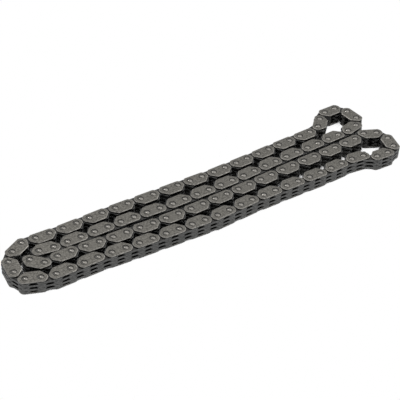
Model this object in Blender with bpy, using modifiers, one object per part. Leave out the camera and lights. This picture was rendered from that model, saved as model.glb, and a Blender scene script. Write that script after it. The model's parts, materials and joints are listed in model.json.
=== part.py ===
"""Inverted-tooth timing chain, laid on its side and folded into four strands.

An endless chain of 124 links: guide links (two guide plates riveted to two pins) take turns
with tooth links (a pack of toothed plates that swings on the pins of its neighbours).
The pins stand upright, so every link turns about a vertical axis. Metres, +Z up.
"""

import math

import bmesh
import bpy
from mathutils import Vector

MM = 0.001

# Chain
PITCH = 6.35 * MM

# Plate outlines: the rounded ends are arcs about the pins, the teeth point into the loop
END_CLEARANCE = 0.5 * MM
TOOTH_DEPTH = 3.9 * MM
GUIDE_FLAT = 6.4 * MM
TIP_FLAT = 1.15 * MM
CROTCH_HEIGHT = 0.8 * MM
END_CORNERS = 3
END_STEP = 45

# Stack, from the middle outwards
PACK_WIDTH = 4.6 * MM
SIDE_CLEARANCE = 0.2 * MM
GUIDE_PLATE = 0.65 * MM
HEAD_HEIGHT = 0.25 * MM

# Pins
PIN_RADIUS = 1.1 * MM
HEAD_RADIUS = 1.25 * MM
PIN_CLEARANCE = 0.2 * MM
PIN_SIDES = 6

# Lay of the chain on the bench: the heading of each body in degrees, read outwards from the
# guide link in the inner turn. Links in the straight strands move in sections of three.
ROOT_HEADING = 135
STRAND_LINKS = 3
UPPER_RUNS = (
    ("inner_turn_upper", 1, (28, -8)),
    ("strand_2", STRAND_LINKS, (0, 0, -2, 1, 2, 5, 3, 3)),
    ("upper_loop", 1, (4, 14, 51, 96, 128, 182, 211, 225, 196)),
    ("strand_1", STRAND_LINKS, (183, 184, 183, 180, 180, 180, 182, 179)),
    ("outer_turn_upper", 1, (209,)),
)
LOWER_RUNS = (
    ("inner_turn_lower", 1, (7, 0)),
    ("strand_3", STRAND_LINKS, (-3, -2, 0, 2, 3, 4, 2, 4)),
    ("lower_loop", 1, (12, -24, -72, -104, -155, -182, -213, -186)),
    ("strand_4", STRAND_LINKS, (-177, -180, -179, -176, -182, -182, -183, -179)),
    ("outer_turn_lower", 1, (-192, -200, -249)),
)

# Finish: base colour (linear), roughness
PLATE_COLOUR = (0.155, 0.145, 0.128)
PACK_COLOUR = (0.098, 0.094, 0.088)
PLATE_ROUGHNESS = 0.42
PACK_ROUGHNESS = 0.5

# Worked out from the sizes above
END_RADIUS = (PITCH - END_CLEARANCE) / 2
GUIDE_GAP = PACK_WIDTH + 2 * SIDE_CLEARANCE
GUIDE_MIDDLE = (GUIDE_GAP + GUIDE_PLATE) / 2
FACE_HEIGHT = GUIDE_GAP / 2 + GUIDE_PLATE
STACK_HALF = FACE_HEIGHT + HEAD_HEIGHT
HEAD_SUNK = GUIDE_PLATE / 4
NECK_HEIGHT = FACE_HEIGHT - GUIDE_PLATE / 2
HOLE_RADIUS = (PIN_RADIUS + PIN_CLEARANCE) / math.cos(math.pi / PIN_SIDES)
SMOOTH_BELOW = math.radians(65)
WELD = 1e-7


def clear_scene():
    for thing in list(bpy.data.objects):
        bpy.data.objects.remove(thing, do_unlink=True)


def collection(name):
    made = bpy.data.collections.new(name)
    bpy.context.scene.collection.children.link(made)
    return made


def steel(name, colour, roughness):
    material = bpy.data.materials.new(name)
    material.use_nodes = True
    shader = material.node_tree.nodes["Principled BSDF"]
    shader.inputs["Base Color"].default_value = (*colour, 1.0)
    shader.inputs["Metallic"].default_value = 1.0
    shader.inputs["Roughness"].default_value = roughness
    material.diffuse_color = (*colour, 1.0)
    return material


# Outlines of one link, with its pins at x = 0 and x = PITCH and its teeth towards +Y


def rounded_end(direction):
    """Corners of the arc about a pin, from the back of the plate to its flank."""
    step = direction * math.radians(END_STEP)
    start = -math.pi / 2 + step / 2
    angles = [start + i * step for i in range(END_CORNERS)]
    return [(END_RADIUS * math.cos(angle), END_RADIUS * math.sin(angle)) for angle in angles]


def guide_outline():
    near = rounded_end(-1)
    far = [(PITCH + x, y) for x, y in rounded_end(1)]
    left = (PITCH - GUIDE_FLAT) / 2
    return far + [(PITCH - left, TOOTH_DEPTH), (left, TOOTH_DEPTH)] + near[::-1]


def toothed_outline():
    near = rounded_end(-1)
    far = [(PITCH + x, y) for x, y in rounded_end(1)]
    left = (PITCH - GUIDE_FLAT) / 2
    tips = [
        (PITCH - left, TOOTH_DEPTH),
        (PITCH - left - TIP_FLAT, TOOTH_DEPTH),
        (PITCH / 2, CROTCH_HEIGHT),
        (left + TIP_FLAT, TOOTH_DEPTH),
        (left, TOOTH_DEPTH),
    ]
    return far + tips + near[::-1]


def hole_outline(x):
    turn = 2 * math.pi / PIN_SIDES
    return [
        (x + HOLE_RADIUS * math.cos(i * turn), HOLE_RADIUS * math.sin(i * turn))
        for i in range(PIN_SIDES)
    ]


# Solids


def plate(outlines, side, start, middle, thickness, workshop):
    """A flat plate from nested outlines; the first is its edge and the others are its holes."""
    curve = bpy.data.curves.new("outline", "CURVE")
    curve.dimensions = "2D"
    curve.fill_mode = "BOTH"
    curve.extrude = thickness / 2
    for outline in outlines:
        spline = curve.splines.new("POLY")
        spline.points.add(len(outline) - 1)
        spline.use_cyclic_u = True
        for point, (x, y) in zip(spline.points, outline):
            point.co = (x, side * y, 0, 1)
    drawn = bpy.data.objects.new("outline", curve)
    drawn.location = (start, 0, middle)
    workshop.objects.link(drawn)
    solid = as_mesh(drawn, workshop)
    bpy.data.curves.remove(curve)
    return solid


def as_mesh(thing, workshop):
    """The evaluated shape of an object as a new mesh object in the same place."""
    bpy.context.view_layer.update()
    evaluated = thing.evaluated_get(bpy.context.evaluated_depsgraph_get())
    mesh = bpy.data.meshes.new_from_object(evaluated)
    shape = bmesh.new()
    shape.from_mesh(mesh)
    bmesh.ops.remove_doubles(shape, verts=shape.verts, dist=WELD)
    bmesh.ops.recalc_face_normals(shape, faces=shape.faces)
    shape.to_mesh(mesh)
    shape.free()
    solid = bpy.data.objects.new("solid", mesh)
    solid.matrix_world = thing.matrix_world
    workshop.objects.link(solid)
    bpy.data.objects.remove(thing, do_unlink=True)
    return solid


def rivet_profile(with_shank):
    """Outer side of a pin from its upper head down to its lower head."""
    base = HEAD_RADIUS * (HEAD_HEIGHT + HEAD_SUNK) / HEAD_HEIGHT
    upper_head = [(0, STACK_HALF), (base, FACE_HEIGHT - HEAD_SUNK)]
    neck = (PIN_RADIUS, NECK_HEIGHT)
    if with_shank:
        lower = [(r, -z) for r, z in reversed(upper_head + [neck])]
        return [upper_head + [neck] + lower]
    stub = upper_head + [neck, (0, NECK_HEIGHT)]
    return [stub, [(r, -z) for r, z in reversed(stub)]]


def turned(profile, x, workshop):
    mesh = bpy.data.meshes.new("profile")
    edges = [(i, i + 1) for i in range(len(profile) - 1)]
    mesh.from_pydata([(r, 0, z) for r, z in profile], edges, [])
    thing = bpy.data.objects.new("profile", mesh)
    thing.location = (x, 0, 0)
    workshop.objects.link(thing)
    screw = thing.modifiers.new("Turn", "SCREW")
    screw.steps = PIN_SIDES
    screw.render_steps = PIN_SIDES
    screw.use_merge_vertices = True
    screw.merge_threshold = WELD
    return as_mesh(thing, workshop)


def joined(solids, workshop):
    """One body from solids that overlap."""
    base = solids[0]
    for other in solids[1:]:
        union = base.modifiers.new("Join", "BOOLEAN")
        union.operation = "UNION"
        union.solver = "EXACT"
        union.object = other
    whole = as_mesh(base, workshop)
    for other in solids[1:]:
        bpy.data.objects.remove(other, do_unlink=True)
    return whole


def chain_mesh(kinds, side, open_end, workshop):
    """The mesh of a run of links that move as one. It starts on its own hinge axis at x = 0.

    kinds is a string of G for a guide link and T for a tooth link, side is the side of the
    teeth, and open_end leaves out the shank of the last pin.
    """
    solids = []
    last = len(kinds)
    for i, kind in enumerate(kinds):
        start = i * PITCH
        if kind == "G":
            for middle in (GUIDE_MIDDLE, -GUIDE_MIDDLE):
                solids.append(plate([guide_outline()], side, start, middle, GUIDE_PLATE, workshop))
            for end in (i, i + 1):
                for profile in rivet_profile(not (open_end and end == last)):
                    solids.append(turned(profile, end * PITCH, workshop))
        else:
            free = [end for end in (i, i + 1) if end in (0, last)]
            holes = [hole_outline((end - i) * PITCH) for end in free]
            solids.append(plate([toothed_outline()] + holes, side, start, 0, PACK_WIDTH, workshop))
    whole = joined(solids, workshop) if len(solids) > 1 else solids[0]
    mesh = whole.data
    at = whole.matrix_world
    mesh.transform(at)
    bpy.data.objects.remove(whole, do_unlink=True)
    mesh.shade_smooth()
    mesh.set_sharp_from_angle(angle=SMOOTH_BELOW)
    return mesh


# Lay of the chain


def along(heading, length):
    angle = math.radians(heading)
    return Vector((length * math.cos(angle), length * math.sin(angle)))


def knee(start, end):
    """Where two links meet that join start to end, bending outwards from the loop."""
    half = (end - start) / 2
    rise = math.sqrt(max(PITCH**2 - half.length_squared, 0))
    return start + half - half.orthogonal().normalized() * rise


def heading_of(start, end):
    step = end - start
    return math.degrees(math.atan2(step.y, step.x))


def walk(runs, start):
    """Each body of an arm as (run, links, hinge, heading), and the last pin."""
    bodies = []
    pin = start.copy()
    for run, links, headings in runs:
        for heading in headings:
            bodies.append((run, links, pin.copy(), heading))
            pin = pin + along(heading, links * PITCH)
    return bodies, pin


def lay_out():
    """The bodies of both arms; two last links close the loop at the open pivot."""
    near = Vector((0.0, 0.0))
    far = near + along(ROOT_HEADING, PITCH)
    upper, upper_end = walk(UPPER_RUNS, far)
    lower, lower_end = walk(LOWER_RUNS, near)
    pivot = knee(upper_end, lower_end)
    upper.append((UPPER_RUNS[-1][0], 1, upper_end, heading_of(upper_end, pivot)))
    lower.append((LOWER_RUNS[-1][0], 1, lower_end, heading_of(lower_end, pivot)))
    return near, upper, lower


def kinds_from(first, links):
    """Guide and tooth links take turns, and link 0 of an arm is a tooth link."""
    return "".join("TG"[(first + i) % 2] for i in range(links))


def name_of(run, kinds, counts):
    word = {"G": "guide_link", "T": "tooth_link"}.get(kinds, "section")
    stem = f"{run}_{word}"
    counts[stem] = counts.get(stem, 0) + 1
    return f"{stem}_{counts[stem]}"


def plan():
    """Every body of the chain as (name, kinds, side, open end, hinge, heading)."""
    near, upper, lower = lay_out()
    bodies = [("inner_turn_guide_link", "G", 1, False, near, ROOT_HEADING)]
    counts = {}
    for arm, side in ((upper, 1), (lower, -1)):
        first = 0
        for run, links, hinge, heading in arm:
            kinds = kinds_from(first, links)
            first += links
            open_end = side < 0 and first == sum(body[1] for body in arm)
            bodies.append((name_of(run, kinds, counts), kinds, side, open_end, hinge, heading))
    return bodies


def centre_of(bodies):
    """Middle of the box round all plates, where the origin goes."""
    corners = []
    for _, kinds, side, _, hinge, heading in bodies:
        ahead = along(heading, 1.0)
        across = Vector((-ahead.y, ahead.x)) * side
        for i in range(len(kinds)):
            for x, y in guide_outline():
                corners.append(hinge + ahead * (x + i * PITCH) + across * y)
    xs = [corner.x for corner in corners]
    ys = [corner.y for corner in corners]
    return Vector(((min(xs) + max(xs)) / 2, (min(ys) + max(ys)) / 2))


def main():
    clear_scene()
    parts = collection("timing_chain")
    workshop = collection("workshop")
    finishes = {
        "T": steel("tooth_plate_steel", PACK_COLOUR, PACK_ROUGHNESS),
        "G": steel("guide_plate_steel", PLATE_COLOUR, PLATE_ROUGHNESS),
    }
    bodies = plan()
    centre = centre_of(bodies)
    meshes = {}
    for name, kinds, side, open_end, hinge, heading in bodies:
        shape = (kinds, side, open_end)
        if shape not in meshes:
            meshes[shape] = chain_mesh(*shape, workshop)
            meshes[shape].materials.append(finishes["G" if "G" in kinds else "T"])
        link = bpy.data.objects.new(name, meshes[shape])
        link.location = (hinge.x - centre.x, hinge.y - centre.y, STACK_HALF)
        link.rotation_euler = (0, 0, math.radians(heading))
        parts.objects.link(link)
    bpy.context.view_layer.update()


main()
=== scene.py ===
"""Looks of the folded inverted-tooth timing chain: full plate lacing, rivets, steel and studio."""

import json
import math

import bmesh
import bpy
from mathutils import Matrix, Vector

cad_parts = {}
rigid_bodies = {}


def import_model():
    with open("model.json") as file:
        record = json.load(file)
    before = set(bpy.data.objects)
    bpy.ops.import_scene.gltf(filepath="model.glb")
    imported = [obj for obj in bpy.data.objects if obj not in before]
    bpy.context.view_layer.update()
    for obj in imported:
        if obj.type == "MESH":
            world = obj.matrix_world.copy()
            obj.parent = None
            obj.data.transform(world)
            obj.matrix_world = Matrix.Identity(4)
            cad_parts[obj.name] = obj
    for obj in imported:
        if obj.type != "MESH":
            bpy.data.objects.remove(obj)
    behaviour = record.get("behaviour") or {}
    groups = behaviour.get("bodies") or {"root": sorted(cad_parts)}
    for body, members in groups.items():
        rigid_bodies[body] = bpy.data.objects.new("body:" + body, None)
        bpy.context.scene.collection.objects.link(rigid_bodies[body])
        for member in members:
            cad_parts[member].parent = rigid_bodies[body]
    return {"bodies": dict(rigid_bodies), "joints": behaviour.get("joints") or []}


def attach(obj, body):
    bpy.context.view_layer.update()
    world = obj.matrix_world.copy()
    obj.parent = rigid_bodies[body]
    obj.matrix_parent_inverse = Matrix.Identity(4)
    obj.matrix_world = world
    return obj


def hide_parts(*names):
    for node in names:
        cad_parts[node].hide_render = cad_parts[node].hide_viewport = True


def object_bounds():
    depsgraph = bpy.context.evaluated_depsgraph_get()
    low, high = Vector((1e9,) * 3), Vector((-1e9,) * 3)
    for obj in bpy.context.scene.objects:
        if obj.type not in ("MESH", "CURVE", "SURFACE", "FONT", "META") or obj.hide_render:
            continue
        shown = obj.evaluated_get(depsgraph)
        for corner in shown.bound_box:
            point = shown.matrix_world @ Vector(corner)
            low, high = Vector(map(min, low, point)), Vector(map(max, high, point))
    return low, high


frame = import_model()
cad_low, cad_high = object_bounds()

MM = 0.001

# Sizes that the frame gives
joints = {joint["child"]: joint for joint in frame["joints"]}
ROOT = next(iter(set(frame["bodies"]) - set(joints)))
STACK = cad_high.z - cad_low.z
MIDDLE = (cad_high.z + cad_low.z) / 2
SECTION_LINKS = 3

# Plate outlines, as in the CAD model but with true arcs
END_RADIUS = 2.925 * MM
BACK_DEPTH = 2.7 * MM
FLANK_ANGLE = 22
TOOTH_DEPTH = 3.88 * MM
GUIDE_FLAT = 6.3 * MM
GUIDE_FILLET = 1.3 * MM
TIP_FLAT = 1.1 * MM
TIP_FILLET = 0.35 * MM
CROTCH_HEIGHT = 0.7 * MM
CROTCH_FILLET = 0.8 * MM
ARC_STEPS = 9
FILLET_STEPS = 4
FILLET_SHARE = 0.48

# Stack, with a small gap between the inner plates. A broken edge drops by a share of its width.
GUIDE_PLATE = 0.65 * MM
HEAD_HEIGHT = 0.25 * MM
FACE = STACK / 2 - HEAD_HEIGHT
INNER_LAYERS = 5
INNER_PITCH = 2 * (FACE - GUIDE_PLATE) / INNER_LAYERS
INNER_PLATE = INNER_PITCH - 0.07 * MM
GUIDE_EDGE = 0.34 * MM
INNER_EDGE = 0.08 * MM
EDGE_DROP = 0.55

# Rivets: a groove lies round each head, and tooth plates turn freely on the shank. Below the
# groove the pin fills its hole and is pressed a little way into the plate.
PIN_RADIUS = 1.1 * MM
HEAD_RADIUS = 1.25 * MM
HEAD_SUNK = 0.08 * MM
HEAD_CROWN = 2.3
GROOVE_RADIUS = 1.45 * MM
GROOVE_DEPTH = 0.26 * MM
FREE_HOLE_RADIUS = PIN_RADIUS + 0.06 * MM
HOLE_EDGE = 0.05 * MM
PRESS = 0.03 * MM
PIN_SIDES = 28
HEAD_RINGS = 5

# Edges that turn by more than this many degrees stay sharp
PLATE_SHARP = 28
PIN_SHARP = 50

# Zones of a plate or pin, which its steel tells apart, and where a plate's tooth side begins
FLAT_ZONE = 0.0
# Walls on the tooth side and the grooves round rivet heads take a painted shade colour
PAINTED_SHADE_ZONE = 0.25
BACK_WALL_ZONE = 0.5
# Edges are lighter, partly as wear and partly as a painted highlight along the rims
EDGE_ZONE = 1.0
TOOTH_SIDE_FROM = 1.0 * MM

# Steel: scale and detail of each noise, the noise values that are spread out, and the grain
MOTTLE_NOISE = (1250.0, 6.0)
ROUGHNESS_NOISE = (1500.0, 4.0)
GRAIN_NOISE = (2600.0, 3.0)
NOISE_LOW = 0.3
NOISE_HIGH = 0.7
ROUGHNESS_SPREAD = 0.09
GRAIN_STRENGTH = 0.26
GRAIN_HEIGHT = 0.04 * MM

# Colours of the flat faces, the walls on the tooth side in painted shade, the backs, and the edges,
# worn and with a painted highlight
GUIDE_COLOURS = (
    (0.115, 0.109, 0.097),
    (0.058, 0.057, 0.055),
    (0.118, 0.118, 0.114),
    (0.27, 0.256, 0.233),
)
# Inner plates show only deep in recesses, so their flat faces and tooth walls are painted dark as
# shade
INNER_COLOURS = (
    (0.040, 0.039, 0.037),
    (0.046, 0.045, 0.043),
    (0.118, 0.118, 0.115),
    (0.15, 0.15, 0.147),
)
HEAD_COLOUR = (0.15, 0.142, 0.129)
# Painted shade for the groove round each rivet head
GROOVE_SHADE_COLOUR = (0.03, 0.03, 0.03)
RIVET_COLOURS = (HEAD_COLOUR, GROOVE_SHADE_COLOUR, HEAD_COLOUR, HEAD_COLOUR)

# Camera, solved from the pin heads of the photograph
FRAME_WIDTH_PX = 400
FOCAL_PX = 1064.0
SENSOR_MM = 36.0
LOOK_AT = Vector((-6.855 * MM, -6.666 * MM, cad_high.z))
CAMERA_DISTANCE = 466.4 * MM
CAMERA_AZIMUTH = 236.162
CAMERA_ELEVATION = 39.824
CAMERA_ROLL = -2.649
CLIP_NEAR = 0.01
CLIP_FAR = 50

# Lamps: places from the point that the camera looks at, in metres, and diameters and powers
KEY_PLACE = Vector((0.38, 0.20, 0.64))
KEY_SIZE = 0.7
KEY_POWER = 1.9
RIVET_LIGHT_PLACE = Vector((0.06, 0.44, 0.54))
RIVET_LIGHT_SIZE = 0.14
RIVET_LIGHT_POWER = 0.55
SKY_COLOUR = (0.96, 0.98, 1.0)
SKY_STRENGTH = 0.74

# Floor, just clear of the lowest rivets
FLOOR_HALF = 6.0
FLOOR_GAP = 0.02 * MM
FLOOR_COLOUR = (0.9, 0.9, 0.9)
FLOOR_ROUGHNESS = 0.6
WHITE = (1.0, 1.0, 1.0)

# Shadow on the floor: how far it reaches, and the share of open sky where it is full and gone
SHADOW_REACH = 12 * MM
SHADOW_DARK = 0.17
SHADOW_CLEAR = 0.26
SHADOW_DEPTH = 0.018
SHADOW_SAMPLES = 12


# Outline helpers


def arc(centre, radius, start, end, steps):
    points = []
    for i in range(steps + 1):
        angle = math.radians(start + (end - start) * i / steps)
        points.append(centre + Vector((math.cos(angle), math.sin(angle))) * radius)
    return points


def filleted(before, corner, after, radius):
    """Points that round a corner between its two neighbours."""
    to_before = before - corner
    to_after = after - corner
    longest = min(to_before.length, to_after.length) * FILLET_SHARE
    reach = min(radius / math.tan(to_before.angle(to_after) / 2), longest)
    start = corner + to_before.normalized() * reach
    end = corner + to_after.normalized() * reach
    points = []
    for i in range(FILLET_STEPS + 1):
        t = i / FILLET_STEPS
        points.append(start * (1 - t) ** 2 + corner * (2 * t * (1 - t)) + end * t**2)
    return points


def plate_outline(pitch, toothed):
    """Anticlockwise outline of a link plate with pins at x = 0 and pitch, teeth towards +Y."""
    back_angle = math.degrees(math.asin(BACK_DEPTH / END_RADIUS))
    near_pin = Vector((0, 0))
    far_pin = Vector((pitch, 0))
    far_end = arc(far_pin, END_RADIUS, -back_angle, FLANK_ANGLE, ARC_STEPS)
    near_end = arc(near_pin, END_RADIUS, 180 - FLANK_ANGLE, 180 + back_angle, ARC_STEPS)
    left = (pitch - GUIDE_FLAT) / 2
    right = pitch - left
    if toothed:
        corners = [
            (Vector((right, TOOTH_DEPTH)), TIP_FILLET),
            (Vector((right - TIP_FLAT, TOOTH_DEPTH)), TIP_FILLET),
            (Vector((pitch / 2, CROTCH_HEIGHT)), CROTCH_FILLET),
            (Vector((left + TIP_FLAT, TOOTH_DEPTH)), TIP_FILLET),
            (Vector((left, TOOTH_DEPTH)), TIP_FILLET),
        ]
    else:
        corners = [
            (Vector((right, TOOTH_DEPTH)), GUIDE_FILLET),
            (Vector((left, TOOTH_DEPTH)), GUIDE_FILLET),
        ]
    path = [far_end[-1]] + [corner for corner, _ in corners] + [near_end[0]]
    points = list(far_end)
    for i, (corner, radius) in enumerate(corners):
        points += filleted(path[i], corner, path[i + 2], radius)
    return points + near_end


# Meshes of single plates and pins, with the link's near pin at the origin


def circle(x, radius):
    """Clockwise points of a hole, which has its plate on the left, as an outline has."""
    points = arc(Vector((x, 0)), radius, 360, 0, PIN_SIDES)
    return points[:-1]


def moved_inwards(points, distance):
    """The same closed path, moved to its left."""
    moved = []
    for i, point in enumerate(points):
        before = (point - points[i - 1]).normalized()
        after = (points[(i + 1) % len(points)] - point).normalized()
        inward = Vector((-before.y - after.y, before.x + after.x)).normalized()
        moved.append(point + inward * distance)
    return moved


def zone_layer(shape):
    return shape.faces.layers.float.get("zone") or shape.faces.layers.float.new("zone")


def wall_zone(start, end, side):
    """Walls on the tooth side get the zone of painted shade, as they lie in shade inside the loops;
    the backs get the plain wall zone.
    """
    middle = (start.y + end.y) / 2
    return PAINTED_SHADE_ZONE if middle * side > TOOTH_SIDE_FROM else BACK_WALL_ZONE


def add_walls(shape, path, side, middle, thickness, edge, edge_zone):
    """The wall along one path, between two broken edges. Gives the loops of both flat faces."""
    zone = zone_layer(shape)
    inner = moved_inwards(path, edge)
    levels = (
        (inner, thickness / 2),
        (path, thickness / 2 - edge * EDGE_DROP),
        (path, -thickness / 2 + edge * EDGE_DROP),
        (inner, -thickness / 2),
    )
    rings = []
    for ring, height in levels:
        rings.append([shape.verts.new((p.x, p.y, middle + height)) for p in ring])
    for i in range(len(path)):
        j = (i + 1) % len(path)
        kinds = (edge_zone, wall_zone(path[i], path[j], side), edge_zone)
        for upper, lower, kind in zip(rings, rings[1:], kinds):
            shape.faces.new((upper[i], lower[i], lower[j], upper[j]))[zone] = kind
    return rings[0], rings[-1]


def add_plate(shape, outline, holes, side, middle, thickness, edge):
    """A blanked plate with holes and slightly broken edges."""
    paths = [(outline, edge, EDGE_ZONE)] + [(hole, HOLE_EDGE, FLAT_ZONE) for hole in holes]
    loops = []
    for path, broken, zone in paths:
        points = path if side > 0 else [Vector((p.x, -p.y)) for p in reversed(path)]
        loops.append(add_walls(shape, points, side, middle, thickness, broken, zone))
    for face in zip(*loops):
        edges = []
        for ring in face:
            edges += [shape.edges.get((ring[i - 1], ring[i])) for i in range(len(ring))]
        if holes:
            bmesh.ops.triangle_fill(shape, edges=edges, use_beauty=True)
        else:
            shape.faces.new(face[0])


def pin_profile():
    """Radius and height of a pin's outer side, from inside the guide plate to its crown."""
    points = [
        (PIN_RADIUS, FACE - GUIDE_PLATE / 2),
        (GROOVE_RADIUS + PRESS, FACE - GUIDE_PLATE / 2),
        (GROOVE_RADIUS + PRESS, FACE - GROOVE_DEPTH),
        (HEAD_RADIUS, FACE - GROOVE_DEPTH),
    ]
    dome = HEAD_HEIGHT + HEAD_SUNK
    for i in range(HEAD_RINGS):
        radius = HEAD_RADIUS * (1 - i / HEAD_RINGS)
        height = dome * (1 - (radius / HEAD_RADIUS) ** HEAD_CROWN)
        points.append((radius, FACE - HEAD_SUNK + height))
    return points


def add_turned(shape, x, profile, ends):
    """A turned solid about the upright line at x, closed by a point at each end."""
    zone = zone_layer(shape)
    rings = []
    for radius, height in profile:
        ring = []
        for i in range(PIN_SIDES):
            angle = 2 * math.pi * i / PIN_SIDES
            place = (x + radius * math.cos(angle), radius * math.sin(angle), height)
            ring.append(shape.verts.new(place))
        rings.append(ring)
    for level, (lower, upper) in enumerate(zip(rings, rings[1:])):
        widest = max(profile[level][0], profile[level + 1][0])
        # Faces wider than the head lie in the groove and take its painted shade colour
        kind = PAINTED_SHADE_ZONE if widest > HEAD_RADIUS else FLAT_ZONE
        for i in range(PIN_SIDES):
            j = (i + 1) % PIN_SIDES
            shape.faces.new((lower[i], lower[j], upper[j], upper[i]))[zone] = kind
    for ring, height in zip((rings[0], rings[-1]), ends):
        tip = shape.verts.new((x, 0, height))
        for i in range(PIN_SIDES):
            shape.faces.new((ring[i - 1], ring[i], tip))


def add_pin(shape, x, with_shank):
    """A riveted pin: a shank with a domed head at both ends, or its two heads alone."""
    upper = pin_profile()
    lower = [(r, -z) for r, z in reversed(upper)]
    if with_shank:
        add_turned(shape, x, lower + upper, (-STACK / 2, STACK / 2))
    else:
        add_turned(shape, x, upper, (FACE - GUIDE_PLATE / 2, STACK / 2))
        add_turned(shape, x, lower, (-STACK / 2, GUIDE_PLATE / 2 - FACE))


def mesh_from(shape, name, sharp_degrees):
    bmesh.ops.recalc_face_normals(shape, faces=shape.faces)
    mesh = bpy.data.meshes.new(name)
    shape.to_mesh(mesh)
    shape.free()
    mesh.shade_smooth()
    mesh.set_sharp_from_angle(angle=math.radians(sharp_degrees))
    return mesh


# Materials


def socket(node, name, value):
    node.inputs[name].default_value = value


class Steel:
    """A Principled steel with a colour for each zone, mottled, with uneven roughness and grain."""

    def __init__(self, name, colours, mottle, roughness):
        self.material = bpy.data.materials.new(name)
        self.material.use_nodes = True
        self.tree = self.material.node_tree
        self.shader = self.tree.nodes["Principled BSDF"]
        socket(self.shader, "Metallic", 1.0)
        self.place = self.add("ShaderNodeTexCoord").outputs["Object"]
        self.colour(colours, mottle)
        self.grain(roughness)

    def add(self, kind):
        return self.tree.nodes.new(kind)

    def link(self, start, end):
        self.tree.links.new(start, end)

    def noise_between(self, scale_and_detail, low, high):
        """A noise value spread from low to high."""
        scale, detail = scale_and_detail
        noise = self.add("ShaderNodeTexNoise")
        socket(noise, "Scale", scale)
        socket(noise, "Detail", detail)
        self.link(self.place, noise.inputs["Vector"])
        spread = self.add("ShaderNodeMapRange")
        socket(spread, "From Min", NOISE_LOW)
        socket(spread, "From Max", NOISE_HIGH)
        socket(spread, "To Min", low)
        socket(spread, "To Max", high)
        self.link(noise.outputs["Fac"], spread.inputs["Value"])
        return spread.outputs["Result"]

    def colour(self, colours, mottle):
        # The zone colours hold painted shade on tooth walls, inner flat faces and rivet grooves, and
        # a painted highlight with wear on the edges
        zone = self.add("ShaderNodeAttribute")
        zone.attribute_name = "zone"
        by_zone = self.add("ShaderNodeValToRGB")
        ramp = by_zone.color_ramp
        ramp.elements.new(PAINTED_SHADE_ZONE)
        ramp.elements.new(BACK_WALL_ZONE)
        for stop, colour in zip(ramp.elements, colours):
            stop.color = (*colour, 1.0)
        self.link(zone.outputs["Fac"], by_zone.inputs["Fac"])
        cloudy = self.add("ShaderNodeVectorMath")
        cloudy.operation = "SCALE"
        self.link(by_zone.outputs["Color"], cloudy.inputs["Vector"])
        self.link(self.noise_between(MOTTLE_NOISE, 1 - mottle, 1 + mottle), cloudy.inputs["Scale"])
        self.link(cloudy.outputs["Vector"], self.shader.inputs["Base Color"])

    def grain(self, roughness):
        low = roughness - ROUGHNESS_SPREAD
        high = roughness + ROUGHNESS_SPREAD
        rough = self.noise_between(ROUGHNESS_NOISE, low, high)
        self.link(rough, self.shader.inputs["Roughness"])
        bump = self.add("ShaderNodeBump")
        socket(bump, "Strength", GRAIN_STRENGTH)
        socket(bump, "Distance", GRAIN_HEIGHT)
        self.link(self.noise_between(GRAIN_NOISE, 0.0, 1.0), bump.inputs["Height"])
        self.link(bump.outputs["Normal"], self.shader.inputs["Normal"])


guide_steel = Steel("guide_plate_steel", GUIDE_COLOURS, mottle=0.42, roughness=0.5).material
inner_steel = Steel("inner_plate_steel", INNER_COLOURS, mottle=0.3, roughness=0.5).material
pin_steel = Steel("rivet_steel", RIVET_COLOURS, mottle=0.1, roughness=0.19).material


# The chain, walked along the joints from the root link


def children_of(body):
    return [joint["child"] for joint in frame["joints"] if joint["parent"] == body]


def hinge(body):
    x, y, _ = joints[body]["pos_m"]
    return Vector((x, y))


def links_in(body):
    return SECTION_LINKS if "section" in body else 1


def arm(start):
    """Bodies of one arm from the root outwards."""
    bodies = [start]
    while children_of(bodies[-1]):
        bodies.append(children_of(bodies[-1])[0])
    return bodies


arms = [arm(child) for child in children_of(ROOT)]
arms.sort(key=lambda bodies: "lower" in bodies[0])
PITCH = (hinge(arms[0][0]) - hinge(arms[0][1])).length
last_pins = [hinge(bodies[-1]) for bodies in arms]


def open_pivot():
    """Where the two last links meet, outside the chord between their hinges."""
    chord = last_pins[1] - last_pins[0]
    rise = math.sqrt(PITCH**2 - (chord.length / 2) ** 2)
    return last_pins[0] + chord / 2 - Vector((-chord.y, chord.x)).normalized() * rise


guide_plate_outline = plate_outline(PITCH, False)
toothed_plate_outline = plate_outline(PITCH, True)


def layer_height(layer):
    return (layer - (INNER_LAYERS - 1) / 2) * INNER_PITCH


def build_group(kinds, side, open_end):
    """Meshes for a run of guide links (G) and tooth links (T), in line with the X axis."""
    guides = bmesh.new()
    inners = bmesh.new()
    pins = bmesh.new()
    last = len(kinds)
    for i, kind in enumerate(kinds):
        shift = Vector((i * PITCH, 0))
        ends = (i, i + 1)
        if kind == "G":
            outline = [p + shift for p in guide_plate_outline]
            holes = [circle(end * PITCH, GROOVE_RADIUS) for end in ends]
            for middle in (FACE - GUIDE_PLATE / 2, -FACE + GUIDE_PLATE / 2):
                add_plate(guides, outline, holes, side, middle, GUIDE_PLATE, GUIDE_EDGE)
            for end in ends:
                add_pin(pins, end * PITCH, not (open_end and end == last))
        layers = range(1, INNER_LAYERS, 2) if kind == "G" else range(0, INNER_LAYERS, 2)
        outline = [p + shift for p in toothed_plate_outline]
        free = [end for end in ends if kind == "T" and end in (0, last)]
        holes = [circle(end * PITCH, FREE_HOLE_RADIUS) for end in free]
        for layer in layers:
            add_plate(inners, outline, holes, side, layer_height(layer), INNER_PLATE, INNER_EDGE)
    made = {}
    for name, shape, sharp in (
        ("guide_plates", guides, PLATE_SHARP),
        ("inner_plates", inners, PLATE_SHARP),
        ("pins", pins, PIN_SHARP),
    ):
        if shape.verts:
            made[name] = mesh_from(shape, f"{kinds}_{name}", sharp)
    return made


FINISHES = {
    "guide_plates": (guide_steel, "guide_plate_steel"),
    "inner_plates": (inner_steel, "tooth_plate_steel"),
    "pins": (pin_steel, "guide_plate_steel"),
}
group_meshes = {}


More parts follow.
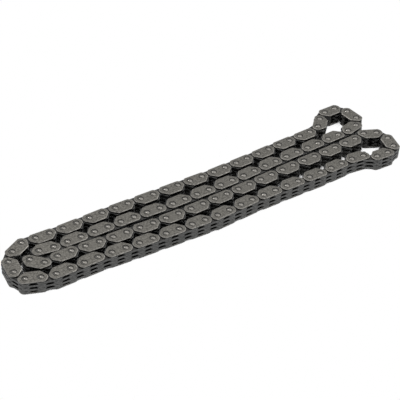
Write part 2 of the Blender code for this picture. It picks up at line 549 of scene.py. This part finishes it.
def dress(body, kinds, side, open_end, start, ahead):
    """Pieces of one body, in its place, instead of its plain node."""
    key = (kinds, side, open_end)
    if key not in group_meshes:
        group_meshes[key] = build_group(*key)
    turn = Matrix.Rotation(math.atan2(ahead.y, ahead.x), 4, "Z")
    for name, mesh in group_meshes[key].items():
        turned = mesh.copy()
        turned.transform(turn)
        turned.materials.append(FINISHES[name][0])
        piece = bpy.data.objects.new(f"{body}_{name}", turned)
        bpy.context.scene.collection.objects.link(piece)
        piece.location = (start.x, start.y, MIDDLE)
        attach(piece, body)
        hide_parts(body)


def dress_root():
    """The root is a guide link between the first hinges of the two arms."""
    near = hinge(arms[1][0])
    dress(ROOT, "G", 1, False, near, hinge(arms[0][0]) - near)


def dress_arm(bodies, side):
    """Tooth links and guide links take turns outwards from the root."""
    first = 0
    for body, following in zip(bodies, bodies[1:] + [None]):
        links = links_in(body)
        kinds = "".join("TG"[(first + i) % 2] for i in range(links))
        first += links
        end = hinge(following) if following else open_pivot()
        open_end = following is None and kinds.endswith("G")
        dress(body, kinds, side, open_end, hinge(body), end - hinge(body))


# Studio


def mixed(tree, factor, first, second):
    mix = tree.nodes.new("ShaderNodeMixShader")
    tree.links.new(factor, mix.inputs["Fac"])
    tree.links.new(first, mix.inputs[1])
    tree.links.new(second, mix.inputs[2])
    return mix.outputs["Shader"]


def larger_of(tree, first, second):
    larger = tree.nodes.new("ShaderNodeMath")
    larger.operation = "MAXIMUM"
    tree.links.new(first, larger.inputs[0])
    tree.links.new(second, larger.inputs[1])
    return larger.outputs["Value"]


def white_to_the_eye(tree, shader):
    """White for the camera, for gloss and for glass, darkened by what stands close over it."""
    closeness = tree.nodes.new("ShaderNodeAmbientOcclusion")
    closeness.samples = SHADOW_SAMPLES
    socket(closeness, "Distance", SHADOW_REACH)
    shadow = tree.nodes.new("ShaderNodeMapRange")
    shadow.interpolation_type = "SMOOTHSTEP"
    socket(shadow, "From Min", SHADOW_DARK)
    socket(shadow, "From Max", SHADOW_CLEAR)
    socket(shadow, "To Min", SHADOW_DEPTH)
    socket(shadow, "To Max", 1.0)
    tree.links.new(closeness.outputs["AO"], shadow.inputs["Value"])
    glow = tree.nodes.new("ShaderNodeEmission")
    tree.links.new(shadow.outputs["Result"], glow.inputs["Strength"])
    ray = tree.nodes.new("ShaderNodeLightPath").outputs
    seen = larger_of(tree, ray["Is Camera Ray"], ray["Is Transmission Ray"])
    seen = larger_of(tree, seen, ray["Is Glossy Ray"])
    shown = mixed(tree, seen, shader.outputs["BSDF"], glow.outputs["Emission"])
    tree.links.new(shown, tree.nodes["Material Output"].inputs["Surface"])


def build_floor():
    mesh = bpy.data.meshes.new("floor")
    height = cad_low.z - FLOOR_GAP
    signs = ((-1, -1), (1, -1), (1, 1), (-1, 1))
    corners = [(x * FLOOR_HALF, y * FLOOR_HALF, height) for x, y in signs]
    mesh.from_pydata(corners, [], [(0, 1, 2, 3)])
    floor = bpy.data.objects.new("floor", mesh)
    bpy.context.scene.collection.objects.link(floor)
    material = bpy.data.materials.new("floor_white")
    material.use_nodes = True
    shader = material.node_tree.nodes["Principled BSDF"]
    socket(shader, "Base Color", (*FLOOR_COLOUR, 1.0))
    socket(shader, "Roughness", FLOOR_ROUGHNESS)
    white_to_the_eye(material.node_tree, shader)
    mesh.materials.append(material)


def build_world():
    world = bpy.data.worlds.new("studio")
    bpy.context.scene.world = world
    world.use_nodes = True
    tree = world.node_tree
    sky = tree.nodes["Background"]
    socket(sky, "Color", (*SKY_COLOUR, 1.0))
    socket(sky, "Strength", SKY_STRENGTH)
    white = tree.nodes.new("ShaderNodeBackground")
    socket(white, "Color", (*WHITE, 1.0))
    ray = tree.nodes.new("ShaderNodeLightPath").outputs
    shown = mixed(tree, ray["Is Camera Ray"], sky.outputs["Background"], white.outputs["Background"])
    tree.links.new(shown, tree.nodes["World Output"].inputs["Surface"])


def area_light(name, place, size, power):
    """A round lamp that shines on the middle of the chain."""
    lamp = bpy.data.lights.new(name, "AREA")
    lamp.shape = "DISK"
    lamp.size = size
    lamp.energy = power
    thing = bpy.data.objects.new(name, lamp)
    thing.location = LOOK_AT + place
    thing.rotation_euler = (LOOK_AT - thing.location).to_track_quat("-Z", "Y").to_euler()
    bpy.context.scene.collection.objects.link(thing)


def camera_axes():
    azimuth = math.radians(CAMERA_AZIMUTH)
    elevation = math.radians(CAMERA_ELEVATION)
    back = Vector((
        math.cos(azimuth) * math.cos(elevation),
        math.sin(azimuth) * math.cos(elevation),
        math.sin(elevation),
    ))
    right = Vector((0, 0, 1)).cross(back).normalized()
    up = back.cross(right)
    return right, up, back


def build_camera():
    right, up, back = camera_axes()
    roll = math.radians(CAMERA_ROLL)
    rolled_right = right * math.cos(roll) - up * math.sin(roll)
    rolled_up = right * math.sin(roll) + up * math.cos(roll)
    data = bpy.data.cameras.new("camera")
    data.sensor_width = SENSOR_MM
    data.lens = FOCAL_PX * SENSOR_MM / FRAME_WIDTH_PX
    data.clip_start = CLIP_NEAR
    data.clip_end = CLIP_FAR
    camera = bpy.data.objects.new("camera", data)
    turn = Matrix((rolled_right, rolled_up, back)).transposed().to_4x4()
    camera.matrix_world = Matrix.Translation(LOOK_AT + back * CAMERA_DISTANCE) @ turn
    bpy.context.scene.collection.objects.link(camera)
    bpy.context.scene.camera = camera


dress_root()
for bodies, side in zip(arms, (1, -1)):
    dress_arm(bodies, side)
build_floor()
build_world()
build_camera()
area_light("key", KEY_PLACE, KEY_SIZE, KEY_POWER)
area_light("rivet_light", RIVET_LIGHT_PLACE, RIVET_LIGHT_SIZE, RIVET_LIGHT_POWER)
bpy.context.scene.view_settings.view_transform = "Standard"
